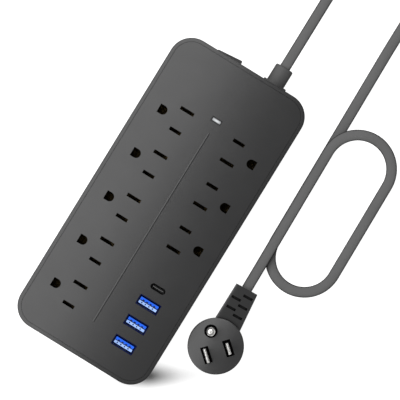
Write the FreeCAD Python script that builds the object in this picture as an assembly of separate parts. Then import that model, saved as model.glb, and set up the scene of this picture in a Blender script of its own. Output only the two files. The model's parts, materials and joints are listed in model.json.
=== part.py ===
"""Surge-protector power strip: eight outlets, four USB ports, a rocker switch and a corded flat plug.

Row frame, in millimetres: the origin is the centre of the case's flat underside, +X runs across
the case towards the side where the cord's loop lies, +Y runs along the case towards the end with
the switch and the cord, and +Z points out of the outlet face.
"""
import FreeCAD, Part
import math
import os

Vec = FreeCAD.Vector
X_AXIS = Vec(1, 0, 0)
Y_AXIS = Vec(0, 1, 0)
Z_AXIS = Vec(0, 0, 1)
TOUCH = 0.05                    # running clearance between close parts

# Case: a deep tub closed by a flat face cover that sits inside the tub's rim
CASE_WIDTH = 84.0
CASE_LENGTH = 184.0
CASE_HEIGHT = 29.0
CASE_CORNER = 13.0
END_Y = CASE_LENGTH / 2
WALL = 2.6
FLOOR = 2.2
RIM = 2.1                       # width of the tub's rim around the cover
RIM_ROUND = 1.5
BASE_ROUND = 1.2
COVER_THICKNESS = 1.9
COVER_GAP = 0.15
COVER_EDGE = 0.2                # chamfer on the cover's top edge
LEDGE_Z = CASE_HEIGHT - COVER_THICKNESS
DIVIDER = {"width": 1.0, "height": 0.5, "y0": -71.5, "y1": 50.5}

# Screws that hold the cover, put in from below
SCREW_PLACES = [(34, 80), (-34, 80), (34, -80), (-34, -80), (0, 22), (0, -52)]
BOSS_RADIUS = 3.8
BOSS_TOP = 8.0
COVER_POST_RADIUS = 3.2
PILOT_RADIUS = 1.5
PILOT_TOP = 20.0
SHANK_RADIUS = 1.45
SHANK_TOP = 18.0
SCREW_HEAD_RADIUS = 2.8
SCREW_SEAT_Z = 4.0
SCREW_HEAD_HEIGHT = 2.2
COUNTERBORE_RADIUS = 3.2

# Keyholes and label panel on the underside
KEYHOLE_Y = 76.0
KEYHOLE_HEAD_RADIUS = 4.0
KEYHOLE_SLOT_RADIUS = 2.1
KEYHOLE_TRAVEL = 6.0
KEYHOLE_POCKET_TOP = 6.0
LABEL_PANEL = {"width": 50, "length": 30, "y": -26, "depth": 0.3, "corner": 3}

# Outlets, standard 15 A three-pin pattern
PITCH = 28.0
TOP_OUTLET_Y = 48.0
BLADE_OFFSET = 6.35             # each blade slot from the outlet's centre line
GROUND_OFFSET = 11.9            # ground hole from the blade slots
LONG_SLOT = 8.5
SHORT_SLOT = 7.1
SLOT_WIDTH = 2.0
GROUND_HOLE_RADIUS = 2.6
GROUND_HOLE_DEPTH = 2.5         # centre of the round side to the flat side
LEFT = {"side": -1, "blade_x": -16.5, "ys": [TOP_OUTLET_Y - PITCH * n for n in range(5)]}
RIGHT = {"side": 1, "blade_x": 16.8, "ys": [TOP_OUTLET_Y - PITCH * n for n in range(3)]}

# Contact carriers below the cover, with a cell over each contact
CARRIER_INNER_X = 9.5
CARRIER_OUTER_X = 34.0
CARRIER_Z0 = 19.5
CARRIER_Z1 = 26.9
CARRIER_END = 11.5              # carrier's end beyond its last outlet's centre
BLADE_CELL = (10.4, 5.2)
GROUND_CELL = 7.0
LEG_INNER = 1.2
LEG_OUTER = 2.0
LEG_LENGTH = 3.0

# Bus bars with spring clips
BAR_Z0 = 8.9
BAR_THICKNESS = 0.6
BAR_WIDTH = 2.4
BAR_OFFSET = 4.4                # line and neutral bars beside the blade line
BAR_TOP_Y = 62.0
BAR_END = 9.5                   # bar's lower end beyond its last outlet's centre
CLIP_TOP = 18.0
CLIP_THROAT_Z = 16.0
CLIP_THICKNESS = 0.5
CLIP_FLARE = 1.05
BLADE_CLIP_GAP = 0.85
BLADE_CLIP_WIDTH = 6.4
GROUND_CLIP_GAP = 2.35
GROUND_CLIP_WIDTH = 5.0
RIB_THICKNESS = 1.4

# Power light
LIGHT_Y = 58.3
LENS = (4.9, 1.6)
LENS_WINDOW = (5.1, 1.8)
LENS_POCKET = (6.2, 2.9)
LENS_POCKET_DEPTH = 0.9

# USB ports
USB_X = 21.0
USB_A_YS = [-47.4, -60.3, -73.2]
USB_C_Y = -37.3
USB_A_OPENING = (13.4, 6.2)
USB_A_SHELL = (13.2, 6.0)
USB_C_OPENING = (9.2, 3.4)
USB_C_SHELL = (9.0, 3.2)
SHELL_WALL = 0.35
SHELL_TOP = 28.6
BOARD_Z0 = 12.0
BOARD_THICKNESS = 1.6
BOARD_TOP = BOARD_Z0 + BOARD_THICKNESS
USB_FLOOR_Z = BOARD_TOP + 4.0
USB_CONTACT_PITCH = 2.3
TONGUE = (11.2, 1.6)
TONGUE_Y = 1.1                  # tongue's middle from the port's
USB_BOARD = {"x0": 7.0, "x1": 30.0, "y0": -79.0, "y1": -31.0}

# Surge board in the channel between the carriers
SURGE_BOARD = {"x0": -6.0, "x1": 6.0, "y0": -40.0, "y1": 10.0, "z0": 6.0}
VARISTOR_YS = [2, -8, -18]
VARISTOR_RADIUS = 6.0
VARISTOR_THICKNESS = 4.2

# Rocker switch in the cord-end wall
SWITCH_X = -12.3
SWITCH_Z = 14.5
SWITCH_HALF = (9.1, 6.4)        # frame, along X and Z
ROCKER_HALF = (7.5, 5.0)
ROCKER_GAP = (0.4, 0.2)
ROCKER_PIVOT_Y = 90.5
ROCKER_FACE_Y = 93.25
ROCKER_TILT = 5.5               # each way from level
SWITCH_BACK_Y = 76.0
TRUNNION_RADIUS = 1.0
SEESAW_PIVOT_Y = 80.6
SEESAW_TILT = 6.0

# Cord, its boot in the end wall and its clamp
CORD_RADIUS = 2.9
CORD_X = 16.7
CORD_Z = 14.5
BOOT_RADIUS = 5.3
BOOT_END_Y = 103.2
BOOT_COLLAR_RADIUS = 6.95
BOOT_NECK_RADIUS = 4.55
CLAMP = {"x0": 6.0, "x1": 27.4, "y0": 79.5, "y1": 84.0, "split_z": 11.6, "top": 19.5}
CLAMP_SCREW_OFFSET = 7.6
CORD_IN_CASE_Y = 78.0
LEAD_RADIUS = 1.0

# Cord's course on the floor
FLOOR_Z = CORD_RADIUS
BRIDGE_Z = FLOOR_Z + 2 * CORD_RADIUS + 0.3
EXIT_PIVOT = Vec(CORD_X, 106.0, CORD_Z)
MID_PIVOT = Vec(60.6, 140.0, FLOOR_Z)
BALL_GAP = 0.4
COIL_START_Y = 221.0
COIL_PITCH = 6.8
COIL_TURNS = 3
COIL_RADIUS = 34.0
COIL_RUNS = (50.0, 16.0)        # straight runs along X and along Y
LOOP_RADIUS = 19.1
LOOP_FOOT = (61.7, 18.75)       # where the strand beside the case turns into the loop
LOOP_RUN = 57.65                # straight sides of the loop
SAMPLE = 6.0                    # spacing of the points along the cord's course

# Flat plug lying on its back, pins up
PLUG_CENTRE = (64.7, -47.85)
PLUG_TURN = 2.8                 # neck's direction from +Y
PLUG_RADIUS = 15.65
PLUG_HEIGHT = 15.0
PLUG_SKIN = 2.4                 # depth of the pockets round the pins
PLUG_CORE_RADIUS = 12.6
PLUG_CORE_Z0 = 3.0
NECK_LENGTH = 35.9              # disc's centre to the neck's end
NECK_WIDTHS = (15.8, 13.2)      # at the disc and at the cord
NECK_Z0 = 1.2
NECK_Z1 = 12.8
NECK_ROUND = 2.6
GRIP_OFFSET = 2.75
GRIP_RIGHT = [32.0, 25.9, 19.9]
GRIP_LEFT = [28.6, 22.6]
GRIP_SIZE = (5.6, 1.5, 1.4)
PIN_TURN = 139.0                # direction of the ground pin from +X
GROUND_PIN_REACH = 8.8
BLADE_THICKNESS = 1.5
NEUTRAL_WIDTH = 7.9
LINE_WIDTH = 6.35
BLADE_LENGTH = 17.5
GROUND_PIN_RADIUS = 2.4
GROUND_PIN_LENGTH = 20.6
GROUND_SHANK_RADIUS = 2.0
PIN_ROOT_Z = 6.0
BLADE_POCKET = (9.4, 4.5)
GROUND_POCKET_RADIUS = 3.7


# ---------------------------------------------------------------- helpers

def box(x0, x1, y0, y1, z0, z1):
    """Block between two corners."""
    return Part.makeBox(x1 - x0, y1 - y0, z1 - z0, Vec(x0, y0, z0))


def block(centre_x, centre_y, size, z0, z1):
    """Block of a plan size, centred in plan."""
    return box(centre_x - size[0] / 2, centre_x + size[0] / 2,
               centre_y - size[1] / 2, centre_y + size[1] / 2, z0, z1)


def post(x, y, radius, z0, z1):
    """Upright cylinder."""
    return Part.makeCylinder(radius, z1 - z0, Vec(x, y, z0))


def rod(radius, start, end):
    """Cylinder between two points."""
    way = end.sub(start)
    return Part.makeCylinder(radius, way.Length, start, way)


def edges_where(shape, test):
    """Edges whose middle point and direction pass a test."""
    chosen = []
    for edge in shape.Edges:
        middle = edge.valueAt((edge.FirstParameter + edge.LastParameter) / 2)
        along = edge.tangentAt((edge.FirstParameter + edge.LastParameter) / 2)
        if test(middle, along):
            chosen.append(edge)
    return chosen


def slab(width, length, corner, z0, z1, x=0.0, y=0.0):
    """Block with rounded upright edges, centred in plan."""
    blank = block(x, y, (width, length), z0, z1)
    upright = edges_where(blank, lambda middle, along: abs(along.z) > 0.99)
    return blank.makeFillet(corner, upright)


def level_edges(shape, z):
    """Edges that lie at one height."""
    return edges_where(shape, lambda middle, along: abs(middle.z - z) < 1e-3 and abs(along.z) < 1e-3)


def join(shapes):
    """One solid from shapes that meet."""
    return shapes[0].multiFuse(shapes[1:]).removeSplitter()


def group(shapes):
    """Separate solids kept in one node."""
    return Part.makeCompound(shapes)


def wire(points, radius):
    """Round wire along straight stretches, with a ball at every bend."""
    pieces = [rod(radius, start, end) for start, end in zip(points, points[1:])]
    pieces += [Part.makeSphere(radius, bend) for bend in points[1:-1]]
    return join(pieces)


# ---------------------------------------------------------------- outlets

def ground_x(column):
    return column["blade_x"] + column["side"] * GROUND_OFFSET


def neutral_y(column, y):
    return y - column["side"] * BLADE_OFFSET


def line_y(column, y):
    return y + column["side"] * BLADE_OFFSET


def outlet_holes(column, y, z0, z1):
    """The long slot, the short slot and the D-shaped ground hole of one outlet."""
    side = column["side"]
    blade_x = column["blade_x"]
    long_slot = block(blade_x, neutral_y(column, y), (LONG_SLOT, SLOT_WIDTH), z0, z1)
    short_slot = block(blade_x, line_y(column, y), (SHORT_SLOT, SLOT_WIDTH), z0, z1)
    centre = ground_x(column)
    flat = centre + side * GROUND_HOLE_DEPTH
    ground = post(centre, y, GROUND_HOLE_RADIUS, z0, z1)
    ground = ground.common(block(centre - side * 5 + side * GROUND_HOLE_DEPTH, y, (10, 10), z0, z1))
    square = box(min(centre, flat), max(centre, flat),
                 y - GROUND_HOLE_RADIUS, y + GROUND_HOLE_RADIUS, z0, z1)
    return [long_slot, short_slot, ground.fuse(square)]


def contact_carrier(column):
    """Moulded carrier with a deep cell over each contact, standing on six legs."""
    side = column["side"]
    y0 = min(column["ys"]) - CARRIER_END
    y1 = max(column["ys"]) + CARRIER_END
    near = side * CARRIER_INNER_X
    far = side * CARRIER_OUTER_X
    body = box(min(near, far), max(near, far), y0, y1, CARRIER_Z0, CARRIER_Z1)
    cells = []
    for y in column["ys"]:
        for cell_y in (neutral_y(column, y), line_y(column, y)):
            cells.append(block(column["blade_x"], cell_y, BLADE_CELL, CARRIER_Z0 - 1, CARRIER_Z1 + 1))
        cells.append(block(ground_x(column), y, (GROUND_CELL, GROUND_CELL),
                           CARRIER_Z0 - 1, CARRIER_Z1 + 1))
    body = body.cut(group(cells))
    legs = []
    for y in (y0 + LEG_LENGTH / 2, (y0 + y1) / 2, y1 - LEG_LENGTH / 2):
        inner_x = near + side * LEG_INNER / 2
        outer_x = far - side * LEG_OUTER / 2
        legs.append(block(inner_x, y, (LEG_INNER, LEG_LENGTH), FLOOR, CARRIER_Z0))
        legs.append(block(outer_x, y, (LEG_OUTER, LEG_LENGTH), FLOOR, CARRIER_Z0))
    return join([body] + legs)


def clip(x, y, gap, width):
    """Folded spring clip, open at the top, that grips a pin between its two leaves."""
    outer = gap + CLIP_THICKNESS
    mouth = gap + CLIP_FLARE
    half = [(outer, BAR_Z0), (outer, CLIP_THROAT_Z), (mouth + CLIP_THICKNESS, CLIP_TOP),
            (mouth, CLIP_TOP), (gap, CLIP_THROAT_Z), (gap, BAR_Z0 + BAR_THICKNESS)]
    outline = half + [(-across, up) for across, up in reversed(half)]
    points = [Vec(x - width / 2, y + across, up) for across, up in outline]
    face = Part.Face(Part.makePolygon(points + points[:1]))
    return face.extrude(Vec(width, 0, 0))


def bar_bottom_y(column):
    return min(column["ys"]) - BAR_END


def blade_bar(column, offset, clip_y):
    """Bus bar beside the blade line, with a tab and a clip for every outlet of the column."""
    bar_x = column["blade_x"] + column["side"] * offset
    top = BAR_Z0 + BAR_THICKNESS
    pieces = [box(bar_x - BAR_WIDTH / 2, bar_x + BAR_WIDTH / 2,
                  bar_bottom_y(column), BAR_TOP_Y, BAR_Z0, top)]
    for y in column["ys"]:
        here = clip_y(column, y)
        pieces.append(clip(column["blade_x"], here, BLADE_CLIP_GAP, BLADE_CLIP_WIDTH))
        tab = (min(bar_x, column["blade_x"]), max(bar_x, column["blade_x"]))
        half = BLADE_CLIP_GAP + CLIP_THICKNESS
        pieces.append(box(tab[0], tab[1], here - half, here + half, BAR_Z0, top))
    return join(pieces)


def neutral_bar(column):
    return blade_bar(column, BAR_OFFSET, neutral_y)


def line_bar(column):
    return blade_bar(column, -BAR_OFFSET, line_y)


def ground_bar(column):
    """Bus bar that runs under the ground clips."""
    x = ground_x(column)
    pieces = [box(x - BAR_WIDTH / 2, x + BAR_WIDTH / 2,
                  bar_bottom_y(column), BAR_TOP_Y, BAR_Z0, BAR_Z0 + BAR_THICKNESS)]
    for y in column["ys"]:
        pieces.append(clip(x, y, GROUND_CLIP_GAP, GROUND_CLIP_WIDTH))
    return join(pieces)


# ---------------------------------------------------------------- case

def keyhole(side):
    """Keyhole in the floor: a round head hole and a narrower slot towards the case's top end."""
    y = side * KEYHOLE_Y
    bottom = -1.0
    head = post(0, y, KEYHOLE_HEAD_RADIUS, bottom, FLOOR)
    end = post(0, y + KEYHOLE_TRAVEL, KEYHOLE_SLOT_RADIUS, bottom, FLOOR)
    slot = box(-KEYHOLE_SLOT_RADIUS, KEYHOLE_SLOT_RADIUS, y, y + KEYHOLE_TRAVEL, bottom, FLOOR)
    return head.fuse([end, slot])


def keyhole_pocket(side, grow, top):
    """Closed pocket over a keyhole that keeps a screw head away from live parts."""
    y = side * KEYHOLE_Y
    return box(-4.2 - grow, 4.2 + grow, y - 4.2 - grow, y + 8.5 + grow, FLOOR, top)


def rib_rows():
    """Upright ribs on the floor that carry the bus bars."""
    ribs = []
    for column in (LEFT, RIGHT):
        middles = [y - PITCH / 2 for y in column["ys"][:-1]]
        for y in [TOP_OUTLET_Y + 9.5] + middles + [bar_bottom_y(column) + 1.2]:
            near = column["side"] * (CARRIER_INNER_X + LEG_INNER + 0.2)
            far = column["side"] * (CARRIER_OUTER_X - LEG_OUTER - 0.2)
            ribs.append(box(min(near, far), max(near, far), y - RIB_THICKNESS / 2,
                            y + RIB_THICKNESS / 2, FLOOR - 0.5, BAR_Z0))
    return ribs


def board_rests():
    """Ribs under the USB board and the surge board, and the post under the light's board."""
    usb = [box(USB_BOARD["x0"], USB_BOARD["x1"], y, y + RIB_THICKNESS, FLOOR - 0.5, BOARD_Z0)
           for y in (USB_BOARD["y0"], USB_BOARD["y1"] - RIB_THICKNESS)]
    surge = [box(SURGE_BOARD["x0"], SURGE_BOARD["x1"], y, y + RIB_THICKNESS,
                 FLOOR - 0.5, SURGE_BOARD["z0"])
             for y in (SURGE_BOARD["y0"] + 3, SURGE_BOARD["y1"] - 3 - RIB_THICKNESS)]
    return usb + surge + [post(0, LIGHT_Y, 2.5, FLOOR - 0.5, 21.5)]


def housing_tub():
    """Deep tub: floor, walls, rounded rim, screw bosses and the openings in its cord-end wall."""
    tub = slab(CASE_WIDTH, CASE_LENGTH, CASE_CORNER, 0, CASE_HEIGHT)
    tub = tub.makeFillet(RIM_ROUND, level_edges(tub, CASE_HEIGHT))
    tub = tub.makeFillet(BASE_ROUND, level_edges(tub, 0))
    recess = slab(CASE_WIDTH - 2 * RIM, CASE_LENGTH - 2 * RIM, CASE_CORNER - RIM, LEDGE_Z, CASE_HEIGHT + 1)
    cavity = slab(CASE_WIDTH - 2 * WALL, CASE_LENGTH - 2 * WALL, CASE_CORNER - WALL, FLOOR, LEDGE_Z + 1)
    tub = tub.cut(recess).cut(cavity)
    added = [post(x, y, BOSS_RADIUS, FLOOR - 0.5, BOSS_TOP) for x, y in SCREW_PLACES]
    added += rib_rows() + board_rests()
    added += [keyhole_pocket(side, 1.0, KEYHOLE_POCKET_TOP) for side in (-1, 1)]
    clamp_bed = box(CLAMP["x0"], CLAMP["x1"], CLAMP["y0"], CLAMP["y1"], FLOOR - 0.5, CLAMP["split_z"])
    tub = tub.multiFuse(added + [clamp_bed])
    removed = [post(x, y, SHANK_RADIUS + 0.25, -1, BOSS_TOP + 1) for x, y in SCREW_PLACES]
    removed += [post(x, y, COUNTERBORE_RADIUS, -1, SCREW_SEAT_Z) for x, y in SCREW_PLACES]
    removed += [keyhole(side) for side in (-1, 1)]
    removed += [keyhole_pocket(side, 0, KEYHOLE_POCKET_TOP - 1) for side in (-1, 1)]
    removed += [post(CORD_X + side * CLAMP_SCREW_OFFSET, 81.75, 1.25, 5, 12) for side in (-1, 1)]
    removed.append(box(SWITCH_X - SWITCH_HALF[0] - TOUCH, SWITCH_X + SWITCH_HALF[0] + TOUCH,
                       END_Y - WALL - 1, END_Y + 1,
                       SWITCH_Z - SWITCH_HALF[1] - TOUCH, SWITCH_Z + SWITCH_HALF[1] + TOUCH))
    removed.append(rod(BOOT_NECK_RADIUS + TOUCH, Vec(CORD_X, END_Y - WALL - 1, CORD_Z),
                       Vec(CORD_X, END_Y + 1, CORD_Z)))
    removed.append(slab(LABEL_PANEL["width"], LABEL_PANEL["length"], LABEL_PANEL["corner"],
                        -1, LABEL_PANEL["depth"], 0, LABEL_PANEL["y"]))
    return tub.cut(group(removed)).removeSplitter()


def face_cover():
    """Flat cover with the outlet slots, port openings, light window, divider and screw posts."""
    inset = RIM + COVER_GAP
    cover = slab(CASE_WIDTH - 2 * inset, CASE_LENGTH - 2 * inset, CASE_CORNER - inset,
                 LEDGE_Z, CASE_HEIGHT)
    cover = cover.makeChamfer(COVER_EDGE, level_edges(cover, CASE_HEIGHT))
    divider = block(0, (DIVIDER["y0"] + DIVIDER["y1"]) / 2,
                    (DIVIDER["width"], DIVIDER["y1"] - DIVIDER["y0"]),
                    CASE_HEIGHT - 0.5, CASE_HEIGHT + DIVIDER["height"])
    ridge = edges_where(divider, lambda middle, along: middle.z > CASE_HEIGHT and abs(along.z) < 0.1)
    divider = divider.makeChamfer(0.4, ridge)
    posts = [post(x, y, COVER_POST_RADIUS, BOSS_TOP, LEDGE_Z + 0.5) for x, y in SCREW_PLACES]
    cover = cover.multiFuse([divider] + posts)
    low = LEDGE_Z - 1
    high = CASE_HEIGHT + 1
    removed = [post(x, y, PILOT_RADIUS, BOSS_TOP - 1, PILOT_TOP) for x, y in SCREW_PLACES]
    for column in (LEFT, RIGHT):
        for y in column["ys"]:
            removed += outlet_holes(column, y, low, high)
    removed += [block(USB_X, y, USB_A_OPENING, low, high) for y in USB_A_YS]
    removed.append(slab(USB_C_OPENING[0], USB_C_OPENING[1], USB_C_OPENING[1] / 2 - 0.01,
                        low, high, USB_X, USB_C_Y))
    removed.append(block(0, LIGHT_Y, LENS_WINDOW, low, high))
    removed.append(block(0, LIGHT_Y, LENS_POCKET, CASE_HEIGHT - LENS_POCKET_DEPTH, high))
    return cover.cut(group(removed)).removeSplitter()


def housing_screws():
    """Six pan-head screws put in from below."""
    screws = []
    for x, y in SCREW_PLACES:
        head = post(x, y, SCREW_HEAD_RADIUS, SCREW_SEAT_Z - SCREW_HEAD_HEIGHT, SCREW_SEAT_Z)
        head = head.makeFillet(0.6, level_edges(head, SCREW_SEAT_Z - SCREW_HEAD_HEIGHT))
        shank = post(x, y, SHANK_RADIUS, SCREW_SEAT_Z - 0.5, SHANK_TOP)
        cross = [block(x, y, size, 0, SCREW_SEAT_Z - 1.2) for size in ((3.4, 0.7), (0.7, 3.4))]
        screws.append(head.fuse(shank).cut(group(cross)))
    return group(screws)


# ---------------------------------------------------------------- light, USB and surge parts

def indicator_lens():
    """Clear window with a flange that stops it passing through the cover."""
    window = block(0, LIGHT_Y, LENS, LEDGE_Z - 0.5, CASE_HEIGHT - 0.15)
    flange = block(0, LIGHT_Y, (LENS[0] + 2, LENS[1] + 2), LEDGE_Z - 1.2, LEDGE_Z)
    return join([window, flange])


def indicator_led():
    dome = Part.makeSphere(1.5, Vec(0, LIGHT_Y, 23.9))
    return join([post(0, LIGHT_Y, 1.5, 22.7, 23.9), dome.common(post(0, LIGHT_Y, 2, 23, 26))])


def indicator_board():
    return block(0, LIGHT_Y, (10, 9), 21.5, 22.7)


def usb_board():
    return box(USB_BOARD["x0"], USB_BOARD["x1"], USB_BOARD["y0"], USB_BOARD["y1"], BOARD_Z0, BOARD_TOP)


def usb_a_shells():
    """Three folded metal shells, open at the top."""
    shells = []
    inner = (USB_A_SHELL[0] - 2 * SHELL_WALL, USB_A_SHELL[1] - 2 * SHELL_WALL)
    for y in USB_A_YS:
        outside = block(USB_X, y, USB_A_SHELL, BOARD_TOP, SHELL_TOP)
        shells.append(outside.cut(block(USB_X, y, inner, BOARD_TOP + SHELL_WALL, SHELL_TOP + 1)))
    return group(shells)


def notch_xs():
    """Middle of each of a port's four contacts."""
    return [USB_X + (n - 1.5) * USB_CONTACT_PITCH for n in range(4)]


def usb_a_tongues():
    """Plastic base of each port and its tongue, notched over the four contacts."""
    tongues = []
    inner = (USB_A_SHELL[0] - 2 * SHELL_WALL, USB_A_SHELL[1] - 2 * SHELL_WALL)
    top = SHELL_TOP - 0.3
    for y in USB_A_YS:
        base = block(USB_X, y, inner, BOARD_TOP + SHELL_WALL, USB_FLOOR_Z)
        tongue = block(USB_X, y + TONGUE_Y, TONGUE, USB_FLOOR_Z - 0.5, top)
        face_y = y + TONGUE_Y - TONGUE[1] / 2
        notches = [block(x, face_y, (1.15, 1.3), top - 2.4, top + 1) for x in notch_xs()]
        tongues.append(join([base, tongue]).cut(group(notches)))
    return group(tongues)


def usb_a_contacts():
    """Four spring leaves on the -Y face of each tongue, ending below its notches."""
    leaves = []
    for y in USB_A_YS:
        face_y = y + TONGUE_Y - TONGUE[1] / 2
        leaves += [box(x - 0.5, x + 0.5, face_y - 0.3, face_y, USB_FLOOR_Z, SHELL_TOP - 3.0)
                   for x in notch_xs()]
    return group(leaves)


def usb_a_floors():
    """Pale strip at the bottom of each port, pierced beside every contact."""
    strips = []
    for y in USB_A_YS:
        strip = block(USB_X, y - 1.15, (11.2, 1.5), USB_FLOOR_Z, USB_FLOOR_Z + 0.8)
        holes = [post(x - 0.3, y - 1.15, 0.42, USB_FLOOR_Z - 1, USB_FLOOR_Z + 2) for x in notch_xs()]
        strips.append(strip.cut(group(holes)))
    return group(strips)


def usb_c_shell():
    """Oval metal shell, open at the top."""
    outside = slab(USB_C_SHELL[0], USB_C_SHELL[1], USB_C_SHELL[1] / 2 - 0.01,
                   BOARD_TOP, SHELL_TOP, USB_X, USB_C_Y)
    inner = (USB_C_SHELL[0] - 2 * SHELL_WALL, USB_C_SHELL[1] - 2 * SHELL_WALL)
    hollow = slab(inner[0], inner[1], inner[1] / 2 - 0.01,
                  BOARD_TOP + SHELL_WALL, SHELL_TOP + 1, USB_X, USB_C_Y)
    return outside.cut(hollow)


def usb_c_tongue():
    """Base and central tongue of the oval port."""
    inner = (USB_C_SHELL[0] - 2 * SHELL_WALL, USB_C_SHELL[1] - 2 * SHELL_WALL)
    base = slab(inner[0], inner[1], inner[1] / 2 - 0.01,
                BOARD_TOP + SHELL_WALL, BOARD_TOP + 5, USB_X, USB_C_Y)
    tongue = block(USB_X, USB_C_Y, (6.6, 0.6), BOARD_TOP + 4.5, SHELL_TOP - 0.8)
    return join([base, tongue])


def usb_transformer():
    """Ferrite core with a wound bobbin, hanging below the board."""
    core = box(13, 27, -60, -46, 5.5, BOARD_Z0)
    bobbin = box(10.5, 29.5, -57.5, -48.5, 4.0, BOARD_Z0 - 1.5)
    return join([core, bobbin])


def usb_capacitors():
    return group([post(x, y, 3.5, 3.4, BOARD_Z0) for x, y in ((12.5, -69), (21.5, -69), (12.5, -39.5))])


def usb_leads():
    """Mains leads from the right-hand bars to the USB board."""
    leads = []
    for x in (RIGHT["blade_x"] - BAR_OFFSET, RIGHT["blade_x"] + BAR_OFFSET):
        y0 = bar_bottom_y(RIGHT)
        z0 = BAR_Z0 + BAR_THICKNESS / 2
        middle_z = BOARD_Z0 + BOARD_THICKNESS / 2
        points = [Vec(x, y0, z0), Vec(x, y0 - 3, z0), Vec(x, USB_BOARD["y1"] + 3, middle_z),
                  Vec(x, USB_BOARD["y1"], middle_z)]
        leads.append(wire(points, 0.7))
    return group(leads)


def surge_board():
    return box(SURGE_BOARD["x0"], SURGE_BOARD["x1"], SURGE_BOARD["y0"], SURGE_BOARD["y1"],
               SURGE_BOARD["z0"], SURGE_BOARD["z0"] + BOARD_THICKNESS)


def surge_varistors():
    """Three disc varistors standing on the surge board."""
    centre_z = SURGE_BOARD["z0"] + BOARD_THICKNESS + VARISTOR_RADIUS
    discs = []
    for y in VARISTOR_YS:
        disc = Part.makeCylinder(VARISTOR_RADIUS, VARISTOR_THICKNESS, Vec(0, y, centre_z), Y_AXIS)
        discs.append(disc.makeFillet(1.0, disc.Edges))
    return group(discs)


def thermal_fuse():
    z = SURGE_BOARD["z0"] + BOARD_THICKNESS + 1.6
    return rod(1.6, Vec(-2, -34, z), Vec(-2, -24, z))


# ---------------------------------------------------------------- switch

def switch_box(half_x, half_z, y0, y1):
    """Block centred on the switch's axis."""
    return box(SWITCH_X - half_x, SWITCH_X + half_x, y0, y1, SWITCH_Z - half_z, SWITCH_Z + half_z)


def rocker_turned(shape):
    """Shape turned with the rocker to its resting tilt."""
    shape.rotate(Vec(SWITCH_X, ROCKER_PIVOT_Y, 0), Z_AXIS, ROCKER_TILT)
    return shape


def switch_body():
    """Frame flush with the wall and a hollow body behind it, with holes for the trunnions."""
    body = switch_box(SWITCH_HALF[0], SWITCH_HALF[1], SWITCH_BACK_Y, END_Y)
    cavity = switch_box(ROCKER_HALF[0] + ROCKER_GAP[0], ROCKER_HALF[1] + ROCKER_GAP[1],
                        SWITCH_BACK_Y + 2, END_Y + 1)
    holes = post(SWITCH_X, ROCKER_PIVOT_Y, TRUNNION_RADIUS + TOUCH,
                 SWITCH_Z - ROCKER_HALF[1] - 1.15, SWITCH_Z + ROCKER_HALF[1] + 1.15)
    return body.cut(group([cavity, holes] + terminal_blades()))


def switch_rocker():
    """Flat rocker with a stem for the sprung plunger and two trunnions."""
    inside_y = ROCKER_PIVOT_Y - 2.5
    cap = switch_box(ROCKER_HALF[0], ROCKER_HALF[1], inside_y, ROCKER_FACE_Y)
    front = edges_where(cap, lambda middle, along: middle.y > ROCKER_FACE_Y - 1e-3)
    cap = cap.makeFillet(0.6, front)
    stem = switch_box(1.6, 3.0, 84.5, inside_y + 0.5)
    trunnions = post(SWITCH_X, ROCKER_PIVOT_Y, TRUNNION_RADIUS,
                     SWITCH_Z - ROCKER_HALF[1] - 1.0, SWITCH_Z + ROCKER_HALF[1] + 1.0)
    bore = rod(1.0, Vec(SWITCH_X, 84, SWITCH_Z), Vec(SWITCH_X, inside_y + 0.6, SWITCH_Z))
    return rocker_turned(join([cap, stem, trunnions]).cut(bore))


def switch_plunger():
    """Round-nosed plunger that slides in the stem and presses on the see-saw contact."""
    nose_y = 82.2
    shank = rod(0.9, Vec(SWITCH_X, nose_y, SWITCH_Z), Vec(SWITCH_X, 85.6, SWITCH_Z))
    nose = Part.makeSphere(0.9, Vec(SWITCH_X, nose_y, SWITCH_Z))
    return rocker_turned(join([shank, nose]))


def switch_spring():
    """Compression spring behind the plunger."""
    coil = Part.makeHelix(0.6, 2.4, 0.7)
    ring = Part.Wire(Part.makeCircle(0.12, Vec(0.7, 0, 0), Y_AXIS))
    spring = Part.Wire(coil).makePipeShell([ring], True, True)
    spring.rotate(Vec(0, 0, 0), X_AXIS, -90)
    spring.translate(Vec(SWITCH_X, 85.8, SWITCH_Z))
    return rocker_turned(spring)


def contact_seesaw():
    """Copper strip that rocks on the middle terminal."""
    strip = switch_box(6.0, 2.0, SEESAW_PIVOT_Y - 0.35, SEESAW_PIVOT_Y + 0.35)
    strip.rotate(Vec(SWITCH_X, SEESAW_PIVOT_Y, 0), Z_AXIS, -SEESAW_TILT)
    return strip


def terminal_blades():
    """Middle terminal under the see-saw's pivot and side terminal under its end."""
    places = ((SWITCH_X, 80.1), (SWITCH_X - 5.0, 79.5))
    return [box(x - 0.4, x + 0.4, 70, tip_y, SWITCH_Z - 2.4, SWITCH_Z + 2.4) for x, tip_y in places]


def switch_terminals():
    return group(terminal_blades())


# ---------------------------------------------------------------- cord

def cord_boot():
    """Rubber boot: collar outside the wall, neck through it and flange behind it."""
    def ring(radius, y0, y1):
        return rod(radius, Vec(CORD_X, y0, CORD_Z), Vec(CORD_X, y1, CORD_Z))
    sleeve = ring(BOOT_RADIUS, END_Y, BOOT_END_Y)
    tip = edges_where(sleeve, lambda middle, along: middle.y > BOOT_END_Y - 1e-3)
    sleeve = sleeve.makeFillet(1.0, tip[:1])
    collar = ring(BOOT_COLLAR_RADIUS, END_Y, END_Y + 1.0)
    neck = ring(BOOT_NECK_RADIUS, END_Y - WALL, END_Y)
    flange = ring(6.0, END_Y - WALL - 3, END_Y - WALL)
    bore = ring(CORD_RADIUS + TOUCH, 80, BOOT_END_Y + 2)
    return join([sleeve, collar, neck, flange]).cut(bore)


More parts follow.
